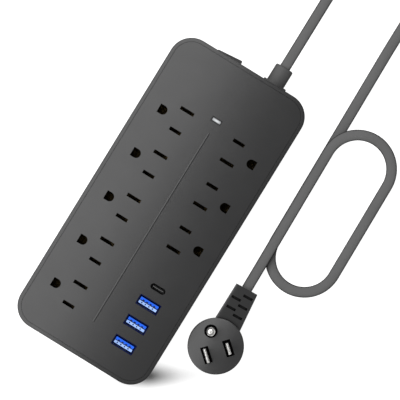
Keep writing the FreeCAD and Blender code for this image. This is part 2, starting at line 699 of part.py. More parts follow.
def cord_entry():
    """Length of cord held in the case, from its stripped end to the first bend."""
    stub = rod(CORD_RADIUS, Vec(CORD_X, CORD_IN_CASE_Y, CORD_Z), EXIT_PIVOT)
    return stub.cut(Part.makeSphere(CORD_RADIUS + BALL_GAP, EXIT_PIVOT))


def cord_clamp():
    """Strap that presses the cord down onto its bed."""
    strap = box(CLAMP["x0"], CLAMP["x1"], CLAMP["y0"], CLAMP["y1"], CLAMP["split_z"], CLAMP["top"])
    channel = rod(CORD_RADIUS + TOUCH, Vec(CORD_X, 75, CORD_Z), Vec(CORD_X, 90, CORD_Z))
    below = box(CORD_X - CORD_RADIUS - TOUCH, CORD_X + CORD_RADIUS + TOUCH, 75, 90, 10, CORD_Z)
    holes = [post(CORD_X + side * CLAMP_SCREW_OFFSET, 81.75, 1.35, 5, 25) for side in (-1, 1)]
    sinks = [post(CORD_X + side * CLAMP_SCREW_OFFSET, 81.75, 2.6, 15.2, 25) for side in (-1, 1)]
    return strap.cut(group([channel, below] + holes + sinks))


def clamp_screws():
    screws = []
    for side in (-1, 1):
        x = CORD_X + side * CLAMP_SCREW_OFFSET
        head = post(x, 81.75, 2.1, 15.2, 17.0)
        screws.append(head.fuse(post(x, 81.75, 1.2, 6, 15.2)))
    return group(screws)


def conductor(turn, y):
    """Where one of the cord's three conductors leaves the jacket."""
    angle = math.radians(turn)
    return Vec(CORD_X + 1.35 * math.cos(angle), y, CORD_Z + 1.35 * math.sin(angle))


def bar_end(column, offset, shift):
    """Point on the cord-side end of a bus bar, for a lead to meet."""
    x = column["blade_x"] + column["side"] * offset + shift
    return Vec(x, BAR_TOP_Y, BAR_Z0 + BAR_THICKNESS / 2)


def lead(start, passes, end):
    """Insulated lead through the given points."""
    return wire([start] + [Vec(*place) for place in passes] + [end], LEAD_RADIUS)


def line_lead():
    """From the cord to the switch's middle terminal."""
    start = conductor(150, CORD_IN_CASE_Y)
    passes = [(start.x, 76.2, start.z), (11, 72.4, 17.2), (-4, 66.6, 17.2), (SWITCH_X, 66.6, SWITCH_Z)]
    return lead(start, passes, Vec(SWITCH_X, 70, SWITCH_Z))


def switched_leads():
    """From the switch's side terminal to the left line bar, and on to the right one."""
    side_x = SWITCH_X - 5
    first_end = bar_end(LEFT, -BAR_OFFSET, -1.1)
    first = lead(Vec(side_x, 70, SWITCH_Z), [(side_x, 68, SWITCH_Z), (first_end.x, 64.6, first_end.z)],
                 first_end)
    start = bar_end(LEFT, -BAR_OFFSET, 1.1)
    end = bar_end(RIGHT, -BAR_OFFSET, 0)
    second = lead(start, [(start.x, 64.4, start.z), (end.x, 64.4, end.z)], end)
    return group([first, second])


def neutral_leads():
    """From the cord to the right neutral bar, and on to the left one."""
    begin = conductor(30, CORD_IN_CASE_Y)
    first_end = bar_end(RIGHT, BAR_OFFSET, -1.1)
    first = lead(begin, [(begin.x, 76.4, begin.z), (first_end.x, 65.4, first_end.z)], first_end)
    start = bar_end(RIGHT, BAR_OFFSET, 1.1)
    end = bar_end(LEFT, BAR_OFFSET, 0)
    second = lead(start, [(start.x, 63.6, start.z), (start.x, 67, 6.8), (end.x, 67, 6.8),
                          (end.x, 63.6, end.z)], end)
    return group([first, second])


def ground_leads():
    """From the cord to the right ground bar, and on to the left one."""
    begin = conductor(270, CORD_IN_CASE_Y)
    first_end = bar_end(RIGHT, GROUND_OFFSET, -1.1)
    first = lead(begin, [(begin.x, 76.8, begin.z), (18.2, 75.4, 10.6), (24.4, 70, 9.4),
                         (first_end.x, 65, first_end.z)], first_end)
    start = bar_end(RIGHT, GROUND_OFFSET, 1.1)
    end = bar_end(LEFT, GROUND_OFFSET, 0)
    second = lead(start, [(start.x, 63.6, start.z), (28, 68.2, 4.0), (-26, 68.2, 4.0),
                          (end.x, 63.6, end.z)], end)
    return group([first, second])


def level_way(heading):
    """Level unit vector at a heading from +X."""
    return Vec(math.cos(math.radians(heading)), math.sin(math.radians(heading)), 0)


def move_points(start, heading, length, turn, end_z):
    """Evenly spaced points of one move, its height eased from the start's to the end's."""
    steps = max(6, math.ceil(length / SAMPLE))
    chord = length / steps
    if turn:
        half = math.radians(turn / steps / 2)
        chord *= math.sin(half) / half
    points = [start]
    for n in range(steps):
        part = (n + 1) / steps
        here = points[-1] + level_way(heading + turn * (n + 0.5) / steps) * chord
        here.z = start.z + (end_z - start.z) * part * part * (3 - 2 * part)
        points.append(here)
    return points


def course(start, heading, moves):
    """Edges along moves (length, turn, end height), each met smoothly; a positive turn is left."""
    edges = []
    here = start
    for length, turn, end_z in moves:
        points = move_points(here, heading, length, turn, end_z)
        if abs(end_z - here.z) > 1e-6:
            curve = Part.BSplineCurve()
            curve.interpolate(Points=points, InitialTangent=level_way(heading),
                              FinalTangent=level_way(heading + turn))
        elif turn:
            middle = move_points(here, heading, length / 2, turn / 2, end_z)[-1]
            curve = Part.Arc(here, middle, points[-1])
        else:
            curve = Part.LineSegment(here, points[-1])
        edges.append(curve.toShape())
        here = points[-1]
        heading += turn
    return edges, here


def arc(radius, turn, end_z):
    """Move along a circular arc."""
    return (radius * math.radians(abs(turn)), turn, end_z)


def run(length, end_z):
    """Move straight ahead."""
    return (length, 0, end_z)


def coil_moves():
    """From the boot down to the floor, round a flat inward coil and out over its lower rows."""
    moves = [run(60, FLOOR_Z), run(COIL_START_Y - EXIT_PIVOT.y - 60, FLOOR_Z)]
    for quarter in range(4 * COIL_TURNS):
        radius = COIL_RADIUS - quarter * COIL_PITCH / 4
        moves.append(arc(radius, -90, FLOOR_Z))
        moves.append(run(COIL_RUNS[quarter % 2], FLOOR_Z))
    inner_x = CORD_X + COIL_TURNS * COIL_PITCH
    moves.append(arc((MID_PIVOT.x - inner_x) / 2, -180, BRIDGE_Z))
    lowest_row_y = COIL_START_Y - COIL_RUNS[1] - COIL_RADIUS + 1.25 * COIL_PITCH
    moves.append(run(COIL_START_Y - lowest_row_y + CORD_RADIUS + 3, BRIDGE_Z))
    moves.append(run(lowest_row_y - CORD_RADIUS - 3 - MID_PIVOT.y, FLOOR_Z))
    return moves


def supply_cord_coil():
    """Cord from the boot to its middle bend."""
    return cord_piece(EXIT_PIVOT, 90, coil_moves())


def supply_cord_loop():
    """Cord from its middle bend, round the loop and over itself to the plug."""
    lead_in = math.hypot(LOOP_FOOT[0] - MID_PIVOT.x, MID_PIVOT.y - LOOP_FOOT[1])
    lean = math.degrees(math.asin((LOOP_FOOT[0] - MID_PIVOT.x) / lead_in))
    pivot = plug_pivot()
    tail_start = Vec(*LOOP_FOOT, 0) + level_way(90 + lean) * LOOP_RUN
    to_plug = Vec(pivot.x, pivot.y, 0) - tail_start
    slope = math.degrees(math.atan2(to_plug.x, -to_plug.y))
    drop = 22.0
    moves = [run(lead_in, FLOOR_Z),
             arc(LOOP_RADIUS, 180, FLOOR_Z),
             run(LOOP_RUN, FLOOR_Z),
             arc(LOOP_RADIUS, 120, BRIDGE_Z),
             arc(LOOP_RADIUS, 60 + slope - lean, BRIDGE_Z),
             run(to_plug.Length - drop, BRIDGE_Z),
             run(drop, pivot.z)]
    return cord_piece(MID_PIVOT, -90 + lean, moves)


def cord_piece(start, heading, moves):
    """Cord with a round end at its first bend and a hollow end at its last."""
    edges, end = course(start, heading, moves)
    way = level_way(heading)
    ring = Part.Wire(Part.makeCircle(CORD_RADIUS, start, way))
    cord = Part.Wire(edges).makePipeShell([ring], True, False)
    behind = Part.makeCylinder(CORD_RADIUS + 1, CORD_RADIUS + 1, start - way * (CORD_RADIUS + 1), way)
    cord = cord.fuse(Part.makeSphere(CORD_RADIUS, start).common(behind))
    return cord.cut(Part.makeSphere(CORD_RADIUS + BALL_GAP, end))


# ---------------------------------------------------------------- plug

def plug_placed(shape):
    """Shape moved from the plug's own frame, neck along +Y, to its place on the floor."""
    shape.rotate(Vec(0, 0, 0), Z_AXIS, PLUG_TURN)
    shape.translate(Vec(PLUG_CENTRE[0], PLUG_CENTRE[1], 0))
    return shape


def plug_pivot():
    """Where the cord bends just outside the plug's neck."""
    angle = math.radians(90 + PLUG_TURN)
    reach = NECK_LENGTH + 3.2
    return Vec(PLUG_CENTRE[0] + reach * math.cos(angle), PLUG_CENTRE[1] + reach * math.sin(angle),
               (NECK_Z0 + NECK_Z1) / 2)


def pin_place(reach, across):
    """Place in the row frame from the plug's centre: along the ground pin's direction and across it."""
    angle = math.radians(PIN_TURN)
    return (PLUG_CENTRE[0] + reach * math.cos(angle) - across * math.sin(angle),
            PLUG_CENTRE[1] + reach * math.sin(angle) + across * math.cos(angle))


def pin_block(reach, across, size, z0, z1):
    """Block on the plug's face, its first side along the ground pin's direction."""
    x, y = pin_place(reach, across)
    piece = block(x, y, size, z0, z1)
    piece.rotate(Vec(x, y, 0), Z_AXIS, PIN_TURN)
    return piece


def neck():
    """Neck between the disc and the cord, narrower at the cord's end."""
    sections = []
    for y, width in ((6.0, NECK_WIDTHS[0] + 0.6), (NECK_LENGTH, NECK_WIDTHS[1])):
        corners = [Vec(across * width / 2, y, z)
                   for across, z in ((-1, NECK_Z0), (1, NECK_Z0), (1, NECK_Z1), (-1, NECK_Z1))]
        sections.append(Part.makePolygon(corners + corners[:1]))
    solid = Part.makeLoft(sections, True, True)
    long_edges = edges_where(solid, lambda middle, along: abs(along.y) > 0.9)
    solid = solid.makeFillet(NECK_ROUND, long_edges)
    return solid


def grip_grooves():
    """Staggered cross grooves in the neck's top."""
    grooves = []
    for side, places in ((1, GRIP_RIGHT), (-1, GRIP_LEFT)):
        for y in places:
            grooves.append(block(side * GRIP_OFFSET, y, GRIP_SIZE[:2], NECK_Z1 - GRIP_SIZE[2], NECK_Z1 + 1))
    return grooves


def plug_body():
    """Moulded disc and neck with pockets round the pins and a chamber for the core."""
    disc = post(0, 0, PLUG_RADIUS, 0, PLUG_HEIGHT)
    disc = disc.makeFillet(0.8, level_edges(disc, PLUG_HEIGHT))
    disc = disc.makeFillet(1.5, level_edges(disc, 0))
    body = disc.fuse(neck()).cut(group(grip_grooves()))
    body = plug_placed(body)
    chamber = plug_placed(post(0, 0, PLUG_CORE_RADIUS, PLUG_CORE_Z0, PLUG_HEIGHT - PLUG_SKIN))
    top = PLUG_HEIGHT + 1
    low = PLUG_HEIGHT - PLUG_SKIN - 0.5
    x, y = pin_place(GROUND_PIN_REACH, 0)
    pockets = [pin_block(GROUND_PIN_REACH - GROUND_OFFSET, side * BLADE_OFFSET, BLADE_POCKET, low, top)
               for side in (-1, 1)]
    pockets.append(post(x, y, GROUND_POCKET_RADIUS, low, top))
    bore = rod(CORD_RADIUS, plug_pivot(), Vec(PLUG_CENTRE[0], PLUG_CENTRE[1], plug_pivot().z))
    return body.cut(group([chamber] + pockets)).cut(bore)


def plug_neutral_blade():
    return blade(NEUTRAL_WIDTH, 1)


def plug_line_blade():
    return blade(LINE_WIDTH, -1)


def blade(width, side):
    """Flat blade with bevelled tip and the usual hole near it."""
    x, y = pin_place(GROUND_PIN_REACH - GROUND_OFFSET, side * BLADE_OFFSET)
    tip = PLUG_HEIGHT + BLADE_LENGTH
    flat = block(0, 0, (width, BLADE_THICKNESS), PIN_ROOT_Z, tip)
    long_tip = edges_where(flat, lambda middle, along: middle.z > tip - 1e-3 and abs(along.x) > 0.9)
    flat = flat.makeChamfer(0.45, long_tip)
    hole = rod(1.6, Vec(0, -5, tip - 4.4), Vec(0, 5, tip - 4.4))
    flat = flat.cut(hole)
    flat.rotate(Vec(0, 0, 0), Z_AXIS, PIN_TURN)
    flat.translate(Vec(x, y, 0))
    return flat


def plug_ground_pin():
    """Round ground pin with a domed tip and a thinner shank inside the core."""
    x, y = pin_place(GROUND_PIN_REACH, 0)
    tip = PLUG_HEIGHT + GROUND_PIN_LENGTH
    pin = post(x, y, GROUND_PIN_RADIUS, PLUG_HEIGHT - PLUG_SKIN, tip)
    pin = pin.makeFillet(1.6, level_edges(pin, tip))
    return pin.fuse(post(x, y, GROUND_SHANK_RADIUS, PIN_ROOT_Z, PLUG_HEIGHT - PLUG_SKIN))


def plug_core():
    """Hard moulded core that holds the pins inside the plug."""
    core = plug_placed(post(0, 0, PLUG_CORE_RADIUS, PLUG_CORE_Z0, PLUG_HEIGHT - PLUG_SKIN))
    pins = [plug_neutral_blade(), plug_line_blade(), plug_ground_pin()]
    stub = rod(CORD_RADIUS, plug_pivot(), Vec(PLUG_CENTRE[0], PLUG_CENTRE[1], plug_pivot().z))
    return core.cut(group(pins + [stub]))


def plug_cord_end():
    """Last length of cord, moulded into the plug's neck, with a round end at the bend."""
    pivot = plug_pivot()
    angle = math.radians(90 + PLUG_TURN)
    inner = pivot - Vec(math.cos(angle), math.sin(angle), 0) * (NECK_LENGTH - 6)
    return join([rod(CORD_RADIUS, inner, pivot), Part.makeSphere(CORD_RADIUS, pivot)])


# ---------------------------------------------------------------- output

NODES = {
    "housing_tub": housing_tub,
    "face_cover": face_cover,
    "housing_screws": housing_screws,
    "left_contact_carrier": lambda: contact_carrier(LEFT),
    "right_contact_carrier": lambda: contact_carrier(RIGHT),
    "left_neutral_bar": lambda: neutral_bar(LEFT),
    "left_line_bar": lambda: line_bar(LEFT),
    "left_ground_bar": lambda: ground_bar(LEFT),
    "right_neutral_bar": lambda: neutral_bar(RIGHT),
    "right_line_bar": lambda: line_bar(RIGHT),
    "right_ground_bar": lambda: ground_bar(RIGHT),
    "indicator_lens": indicator_lens,
    "indicator_led": indicator_led,
    "indicator_board": indicator_board,
    "surge_board": surge_board,
    "surge_varistors": surge_varistors,
    "thermal_fuse": thermal_fuse,
    "usb_board": usb_board,
    "usb_a_shells": usb_a_shells,
    "usb_a_tongues": usb_a_tongues,
    "usb_a_contacts": usb_a_contacts,
    "usb_a_floors": usb_a_floors,
    "usb_c_shell": usb_c_shell,
    "usb_c_tongue": usb_c_tongue,
    "usb_transformer": usb_transformer,
    "usb_capacitors": usb_capacitors,
    "usb_leads": usb_leads,
    "switch_body": switch_body,
    "switch_rocker": switch_rocker,
    "switch_plunger": switch_plunger,
    "switch_spring": switch_spring,
    "contact_seesaw": contact_seesaw,
    "switch_terminals": switch_terminals,
    "line_lead": line_lead,
    "switched_leads": switched_leads,
    "neutral_leads": neutral_leads,
    "ground_leads": ground_leads,
    "cord_boot": cord_boot,
    "cord_entry": cord_entry,
    "cord_clamp": cord_clamp,
    "clamp_screws": clamp_screws,
    "supply_cord_coil": supply_cord_coil,
    "supply_cord_loop": supply_cord_loop,
    "plug_body": plug_body,
    "plug_core": plug_core,
    "plug_neutral_blade": plug_neutral_blade,
    "plug_line_blade": plug_line_blade,
    "plug_ground_pin": plug_ground_pin,
    "plug_cord_end": plug_cord_end,
}

os.makedirs("parts", exist_ok=True)
for name, make in NODES.items():
    shape = make()
    shape.exportStep(f"parts/{name}.step")
    print(name, len(shape.Solids), "solids", round(shape.Volume / 1000, 3), "cm3", shape.isValid())
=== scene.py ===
"""Looks of the power strip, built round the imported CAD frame.

Lengths here are in millimetres where a name ends in _MM and in metres elsewhere. The row frame has
+X across the case, +Y towards the switch and cord end, and +Z out of the outlet face.
"""
import json
import math

import bmesh
import bpy
from mathutils import Matrix, Vector


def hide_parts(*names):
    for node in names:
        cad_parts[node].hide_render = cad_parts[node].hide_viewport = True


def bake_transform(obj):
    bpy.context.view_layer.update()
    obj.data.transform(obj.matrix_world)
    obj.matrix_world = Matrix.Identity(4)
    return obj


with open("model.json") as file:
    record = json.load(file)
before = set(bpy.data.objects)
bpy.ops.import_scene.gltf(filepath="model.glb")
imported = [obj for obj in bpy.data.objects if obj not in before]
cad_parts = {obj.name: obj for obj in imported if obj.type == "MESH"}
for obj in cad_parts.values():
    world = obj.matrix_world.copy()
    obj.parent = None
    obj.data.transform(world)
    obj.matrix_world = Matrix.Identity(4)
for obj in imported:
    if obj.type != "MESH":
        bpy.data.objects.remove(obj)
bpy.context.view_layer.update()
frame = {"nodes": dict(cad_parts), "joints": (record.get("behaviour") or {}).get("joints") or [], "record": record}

MM = 0.001

# Cord: the CAD cord's course to within a millimetre
CORD_RADIUS_MM = 3.0
CORD_IN_CASE_Y_MM = 78.0          # where the cord begins, inside the case
FLOOR_Z_MM = CORD_RADIUS_MM       # height of the cord's axis on the floor
BRIDGE_Z_MM = 3 * CORD_RADIUS_MM + 0.3  # and where it lies over another strand
LEAD_DROP_RUN_MM = 60.0           # level distance in which it comes down from the case to the floor
COIL_START_Y_MM = 221.0
COIL_PITCH_MM = 6.8
COIL_TURNS = 3
COIL_RADIUS_MM = 34.0             # of the coil's outer corners
COIL_RUNS_MM = (50.0, 16.0)       # straight stretches along X and along Y
COIL_CLEARANCE_MM = 3.0           # between the coil and the strand that comes down past it
LOOP_RADIUS_MM = 18.85
LOOP_FOOT_MM = (62.3, 18.9)       # where the strand beside the case turns into the loop
LOOP_RUN_MM = 57.5                # straight stretch on each side of the loop
TAIL_DROP_RUN_MM = 22.0           # level distance in which the cord comes down to the plug
CORD_IN_PLUG_MM = 14.0
STEP_MM = 1.6                     # spacing of the rings along the cord
RING_SIDES = 28
UV_UNIT_MM = 10.0                 # length of cord for each unit of its UV map
TAIL_SPLIT_MM = 36.0              # length of the last stretch that the loop's piece keeps

# Camera: nearly overhead, turned so that the case leans to the right of the picture's upright
PICTURE_RIGHT = Vector((0.852, 0.524, 0))
PICTURE_UP = Vector((-0.524, 0.852, 0))
PICTURE_CENTRE = Vector((0.015, 0.0165, 0.029))
PICTURE_WIDTH = 0.220
CAMERA_DISTANCE = 3.6
CAMERA_TILTS = (0.2, 0.2)         # degrees from straight down, towards the picture's right and top

CROWN_DEGREES = 8.0               # how far flat moulded faces lean at their edges
FLATTEN = 2.5                     # how strongly their edges and ridges shade like the flat around them
CORD_FLATTEN = 3.0                # how many times flatter the round cord shades
SOFTBOX_EDGE_X = -0.03            # the softbox lies to the left of this, level over the case
SOFTBOX_SIZE = (1.5, 2.4)
SOFTBOX_HEIGHT = 1.4
SOFTBOX_RADIANCE = 2.75
SURROUND_STRENGTH = 0.35
FLOOR_SIZE = 4.0
FLOOR_GAP = 0.0003                # keeps the floor just below the case's flat underside
SHADOW_PLACE = (0.0534, -0.0749, 0)  # middle of the soft shadow beside the case's corner
SHADOW_SIZE = (0.042, 0.0095, 1.0)   # its half length and half width
SHADOW_STOPS = [(0.10, 0.0), (0.30, 1.1), (0.42, 0.75), (0.55, 0.42), (0.72, 0.16), (1.0, 0.0)]  # its depth


# ---------------------------------------------------------------- materials

def new_material(name):
    mat = bpy.data.materials.new(name)
    mat.use_nodes = True
    return mat, mat.node_tree, mat.node_tree.nodes["Principled BSDF"]


def place(tree, kind, **values):
    """New shader node with its input values set by name."""
    node = tree.nodes.new(kind)
    for key, value in values.items():
        node.inputs[key.replace("_", " ")].default_value = value
    return node


def noise(tree, coords, scale, detail=3.0, roughness=0.55):
    node = place(tree, "ShaderNodeTexNoise", Scale=scale, Detail=detail, Roughness=roughness)
    tree.links.new(coords, node.inputs["Vector"])
    return node.outputs["Fac"]


def remap(tree, value, low, high, to_low, to_high):
    node = place(tree, "ShaderNodeMapRange", From_Min=low, From_Max=high, To_Min=to_low, To_Max=to_high)
    tree.links.new(value, node.inputs["Value"])
    return node.outputs["Result"]


def spread(tree, value, to_low, to_high):
    """Noise, which lies mostly between 0.3 and 0.7, spread over another range."""
    return remap(tree, value, 0.3, 0.7, to_low, to_high)


def tint(tree, colour, factor):
    """Colour multiplied by a grey factor."""
    node = tree.nodes.new("ShaderNodeVectorMath")
    node.operation = "SCALE"
    node.inputs[0].default_value = colour
    tree.links.new(factor, node.inputs["Scale"])
    return node.outputs["Vector"]


def calculated(tree, kind, operation, values):
    """Node that works out an operation on values, each a socket or a fixed value."""
    node = tree.nodes.new(kind)
    node.operation = operation
    for socket, value in zip(node.inputs, values):
        if isinstance(value, bpy.types.NodeSocket):
            tree.links.new(value, socket)
        else:
            socket.default_value = value
    return node


def number_math(tree, operation, *values):
    return calculated(tree, "ShaderNodeMath", operation, values).outputs["Value"]


def vector_math(tree, operation, *values):
    return calculated(tree, "ShaderNodeVectorMath", operation, values).outputs["Vector"]


def multiplied(tree, first, second):
    return number_math(tree, "MULTIPLY", first, second)


def object_coords(tree):
    return tree.nodes.new("ShaderNodeTexCoord").outputs["Object"]


def parts_of(tree, coords):
    """X, Y and Z of coordinates."""
    node = place(tree, "ShaderNodeSeparateXYZ")
    tree.links.new(coords, node.inputs["Vector"])
    return node.outputs


def mapped(tree, coords, scale, kind="POINT", location=(0, 0, 0), turn=0.0):
    """Coordinates multiplied by scale; with kind TEXTURE, taken from location and divided by it."""
    node = place(tree, "ShaderNodeMapping", Location=location, Rotation=(0, 0, turn), Scale=scale)
    node.vector_type = kind
    tree.links.new(coords, node.inputs["Vector"])
    return node.outputs["Vector"]


def bump(tree, height, distance, strength=1.0, normal=None):
    node = place(tree, "ShaderNodeBump", Distance=distance, Strength=strength)
    tree.links.new(height, node.inputs["Height"])
    if normal is not None:
        tree.links.new(normal, node.inputs["Normal"])
    return node.outputs["Normal"]


def surface_normal(tree):
    return tree.nodes.new("ShaderNodeNewGeometry").outputs["Normal"]


def soft_edges(tree, radius):
    """Normal that rounds sharp edges a little, as moulding does."""
    node = tree.nodes.new("ShaderNodeBevel")
    node.samples = 4
    node.inputs["Radius"].default_value = radius
    return node.outputs["Normal"]


def edge_highlight(tree, radius):
    """Mask for the painted edge highlight: between 0 on flat faces and 1 on sharp edges."""
    normals = (soft_edges(tree, radius), surface_normal(tree))
    alike = calculated(tree, "ShaderNodeVectorMath", "DOT_PRODUCT", normals).outputs["Value"]
    return remap(tree, alike, 0.995, 0.8, 0.0, 1.0)


def depth_shade(tree, reach, own_walls_only=False):
    """1 in the open and on low ridges, and near 0 deep in a slot, where hardly any light gets in."""
    node = tree.nodes.new("ShaderNodeAmbientOcclusion")
    node.samples = 8
    node.only_local = own_walls_only
    node.inputs["Distance"].default_value = reach
    return remap(tree, multiplied(tree, node.outputs["AO"], node.outputs["AO"]), 0.0, 0.7, 0.0, 1.0)


def flattened(tree, stretch):
    """Normal of a round shape as if it were flatter on its top and bottom."""
    stretched = vector_math(tree, "MULTIPLY", surface_normal(tree), (1, 1, stretch))
    return vector_math(tree, "NORMALIZE", stretched)


def crowned(tree, normal, crown):
    """Normal of a top face that is slightly crowned across X and runs smoothly into its edges.

    crown holds the crown's middle and half width, its tilt at the edges in degrees, and the height
    below which the face leans fully to +X.
    """
    middle, half_width, degrees, full_below = crown
    spot = parts_of(tree, object_coords(tree))
    own_normal = parts_of(tree, tree.nodes.new("ShaderNodeTexCoord").outputs["Normal"])
    lean = (1 + FLATTEN) * math.sin(math.radians(degrees))
    across = remap(tree, spot["X"], middle - half_width, middle + half_width, -lean, lean)
    low = remap(tree, spot["Z"], full_below - 0.2 * MM, full_below, 2 * lean, 0.0)
    facing_up = remap(tree, own_normal["Z"], 0.2, 0.7, 0.0, 1.0)
    tilt = tree.nodes.new("ShaderNodeCombineXYZ")
    tree.links.new(multiplied(tree, number_math(tree, "ADD", across, low), facing_up), tilt.inputs["X"])
    tree.links.new(remap(tree, facing_up, 0.0, 1.0, 0.0, FLATTEN), tilt.inputs["Z"])
    to_world = tree.nodes.new("ShaderNodeVectorTransform")
    to_world.vector_type = "VECTOR"
    to_world.convert_from = "OBJECT"
    to_world.convert_to = "WORLD"
    tree.links.new(tilt.outputs["Vector"], to_world.inputs["Vector"])
    return vector_math(tree, "NORMALIZE", vector_math(tree, "ADD", normal, to_world.outputs["Vector"]))


def sunk_shade(tree, dark_below, full_above):
    """Grey factor that falls to nearly 0 below a height, as inside a deep port."""
    return remap(tree, parts_of(tree, object_coords(tree))["Z"], dark_below, full_above, 0.04, 1.0)


def moulded_plastic(name, colour, roughness, grain_mm=0.35, depth_mm=0.01, crown=None, shine=0.5,
                    dark_reach=0.0, edge_mm=0.25):
    """Injection-moulded plastic: fine etched grain, faint cloudiness, painted edge highlight and painted shade in
    slots.
    """
    mat, tree, bsdf = new_material(name)
    coords = object_coords(tree)
    cloud = spread(tree, noise(tree, coords, 35.0, 4.0), 0.95, 1.05)
    speck = spread(tree, noise(tree, coords, 1 / (grain_mm * MM), 2.0), 0.96, 1.04)
    shade = multiplied(tree, cloud, speck)
    # Painted highlight: sharp edges and ridges get a base colour up to 1.6 times paler
    shade = multiplied(tree, shade, remap(tree, edge_highlight(tree, edge_mm * MM), 0.0, 1.0, 1.0, 1.6))
    bsdf.inputs["Specular IOR Level"].default_value = shine
    # Painted shade: with a reach, the base colour and the shine fall towards 0 deep in slots and seams
    if dark_reach:
        # Crowned parts are the outer ones, which the floor beneath mustn't darken
        dark = depth_shade(tree, dark_reach, own_walls_only=crown is not None)
        shade = multiplied(tree, shade, dark)
        tree.links.new(remap(tree, dark, 0.0, 1.0, 0.0, shine), bsdf.inputs["Specular IOR Level"])
    tree.links.new(tint(tree, colour, shade), bsdf.inputs["Base Color"])
    rough = spread(tree, noise(tree, coords, 90.0, 3.0), roughness - 0.02, roughness + 0.02)
    tree.links.new(rough, bsdf.inputs["Roughness"])
    normal = soft_edges(tree, edge_mm * MM)
    if crown:
        normal = crowned(tree, normal, crown)
    grain = noise(tree, coords, 1 / (grain_mm * MM), 3.0)
    tree.links.new(bump(tree, grain, depth_mm * MM, 1.0, normal), bsdf.inputs["Normal"])
    return mat


def plated_metal(name, colour, roughness, streak=(900.0, 900.0, 60.0), dark_reach=0.0):
    """Rolled and plated metal with fine drawing lines."""
    mat, tree, bsdf = new_material(name)
    lines = noise(tree, mapped(tree, object_coords(tree), streak), 4.0, 4.0)
    shade = spread(tree, lines, 0.8, 1.06)
    # Painted shade: with a reach, the base colour falls towards 0 deep in slots
    if dark_reach:
        shade = multiplied(tree, shade, depth_shade(tree, dark_reach))
    tree.links.new(tint(tree, colour, shade), bsdf.inputs["Base Color"])
    bsdf.inputs["Metallic"].default_value = 1.0
    tree.links.new(spread(tree, lines, roughness - 0.06, roughness + 0.1), bsdf.inputs["Roughness"])
    tree.links.new(bump(tree, lines, 0.02 * MM, 0.8, soft_edges(tree, 0.2 * MM)), bsdf.inputs["Normal"])
    return mat


def cord_jacket(name, colour):
    """Extruded jacket: soft satin with painted shade towards its sides, and faint lines along its length."""
    mat, tree, bsdf = new_material(name)
    coords = object_coords(tree)
    round_and_along = tree.nodes.new("ShaderNodeTexCoord").outputs["UV"]
    lines = noise(tree, mapped(tree, round_and_along, (26.0, 6.0, 1.0)), 1.0, 3.0)
    peel = noise(tree, coords, 1400.0, 2.0)
    cloud = spread(tree, noise(tree, coords, 60.0, 3.0), 0.95, 1.05)
    facing = place(tree, "ShaderNodeLayerWeight", Blend=0.5).outputs["Facing"]
    # Painted shade: colour and shine fall off towards the cord's sides as seen from the viewer
    painted_side_shade = remap(tree, facing, 0.38, 0.72, 1.0, 0.1)
    tree.links.new(tint(tree, colour, multiplied(tree, cloud, painted_side_shade)), bsdf.inputs["Base Color"])
    tree.links.new(spread(tree, lines, 0.62, 0.74), bsdf.inputs["Roughness"])
    tree.links.new(remap(tree, painted_side_shade, 0.1, 1.0, 0.0, 0.25), bsdf.inputs["Specular IOR Level"])
    drawn = bump(tree, lines, 0.03 * MM, 0.7, flattened(tree, CORD_FLATTEN))
    tree.links.new(bump(tree, peel, 0.012 * MM, 0.8, drawn), bsdf.inputs["Normal"])
    return mat


def glossy(name, colour, roughness=0.22, painted_glow=0.0, shine=0.5, sunk=None):
    """Smooth clear-coated plastic or enamel with slight unevenness, and optional painted shade low down and
    painted glow.
    """
    mat, tree, bsdf = new_material(name)
    coords = object_coords(tree)
    cloud = spread(tree, noise(tree, coords, 220.0, 3.0), 0.93, 1.05)
    # Painted shade: with sunk heights, the colour darkens low down, as deep inside a port
    if sunk:
        cloud = multiplied(tree, cloud, sunk_shade(tree, *sunk))
    shaded = tint(tree, colour, cloud)
    tree.links.new(shaded, bsdf.inputs["Base Color"])
    tree.links.new(spread(tree, noise(tree, coords, 500.0), roughness, roughness + 0.12),
                   bsdf.inputs["Roughness"])
    tree.links.new(soft_edges(tree, 0.15 * MM), bsdf.inputs["Normal"])
    bsdf.inputs["Specular IOR Level"].default_value = shine
    # Painted glow: the part gives off light of its own colour, though it is no lamp
    if painted_glow:
        tree.links.new(shaded, bsdf.inputs["Emission Color"])
        bsdf.inputs["Emission Strength"].default_value = painted_glow
    return mat


def light_window(name, lamp_place):
    """Milky window, brightest over the small lamp behind it."""
    mat, tree, bsdf = new_material(name)
    from_lamp = mapped(tree, object_coords(tree), (2.6 * MM, 0.75 * MM, 1.0), "TEXTURE", lamp_place)
    away = calculated(tree, "ShaderNodeVectorMath", "LENGTH", [from_lamp]).outputs["Value"]
    frost = spread(tree, noise(tree, object_coords(tree), 900.0), 0.9, 1.0)
    tree.links.new(tint(tree, (0.30, 0.31, 0.32), frost), bsdf.inputs["Base Color"])
    bsdf.inputs["Roughness"].default_value = 0.35
    bsdf.inputs["Emission Color"].default_value = (0.95, 0.98, 1.0, 1)
    tree.links.new(remap(tree, away, 0.1, 1.1, 0.5, 0.0), bsdf.inputs["Emission Strength"])
    return mat


def circuit_board(name):
    """Green solder mask with a pattern of copper tracks showing through."""
    mat, tree, bsdf = new_material(name)
    coords = object_coords(tree)
    brick = place(tree, "ShaderNodeTexBrick", Scale=260.0, Mortar_Size=0.06,
                  Color1=(0.01, 0.09, 0.03, 1), Color2=(0.012, 0.12, 0.04, 1), Mortar=(0.03, 0.22, 0.08, 1))
    tree.links.new(coords, brick.inputs["Vector"])
    tree.links.new(brick.outputs["Color"], bsdf.inputs["Base Color"])
    bsdf.inputs["Roughness"].default_value = 0.35
    tree.links.new(bump(tree, brick.outputs["Fac"], 0.03 * MM, 0.5), bsdf.inputs["Normal"])
    return mat


